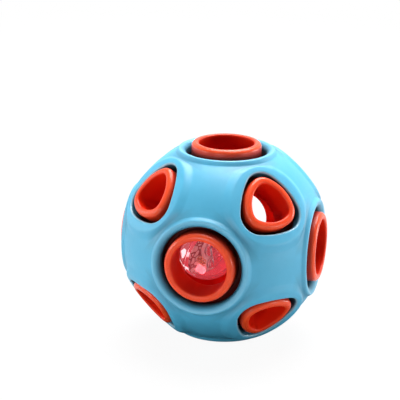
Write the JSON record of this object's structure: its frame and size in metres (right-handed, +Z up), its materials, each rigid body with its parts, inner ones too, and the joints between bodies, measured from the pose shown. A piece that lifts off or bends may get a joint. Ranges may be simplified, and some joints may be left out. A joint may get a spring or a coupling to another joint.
{
  "type": "dog ball",
  "caption": "Double-layer rubber dog ball: a pierced outer shell over a hollow core whose open tubes stand out through the holes, with a loose clear flash ball inside that lights when shaken.",
  "frame": {"origin": "middle of the core, which is the middle of the bounding box", "axes": "+Z up through the top round tube, -Y out of the front round tube, +X out of the right round tube"},
  "size_m": [0.071, 0.071, 0.071],
  "materials": {
    "blue_rubber": "satin moulded thermoplastic rubber",
    "orange_rubber": "satin moulded thermoplastic rubber",
    "clear_plastic": "clear polished polystyrene",
    "board_laminate": "white solder mask",
    "white_plastic": "moulded",
    "steel": "nickel plated",
    "lamp_red": "tinted clear epoxy",
    "lamp_green": "tinted clear epoxy",
    "lamp_blue": "tinted clear epoxy",
    "gilt_brass": "bright",
    "black_epoxy": "cast epoxy"
  },
  "bodies": {
    "core": {"inner_core": "orange_rubber"},
    "shell": {"outer_shell": "blue_rubber"},
    "flash_ball": {"case_cup": "clear_plastic", "case_lid": "clear_plastic", "circuit_board": "board_laminate", "cell_tray": "white_plastic", "button_cell_plus": "steel", "button_cell_minus": "steel", "cell_clip": "steel", "led_red": "lamp_red", "led_green": "lamp_green", "led_blue": "lamp_blue", "switch_pin": "gilt_brass", "chip_cover": "black_epoxy", "resistor": "black_epoxy"},
    "switch_coil": {"switch_spring": "gilt_brass"}
  },
  "joints": [
    {"name": "shell_twist", "type": "hinge", "parent": "core", "child": "shell", "pos_m": [0, 0, 0], "axis": [0, 0, 1], "range_deg": [-1.6, 1.6]},
    {"name": "flash_ball_travel", "type": "slide", "parent": "core", "child": "flash_ball", "axis": [0.5774, -0.5774, 0.5774], "range_m": [0, 0.02995]},
    {"name": "switch_sway", "type": "hinge", "parent": "flash_ball", "child": "switch_coil", "pos_m": [-0.0103, 0.00225, -0.0102], "axis": [-0.0198, 0.5515, -0.834], "range_deg": [-4, 4], "stiffness_Nm_per_rad": 0.0002}
  ]
}
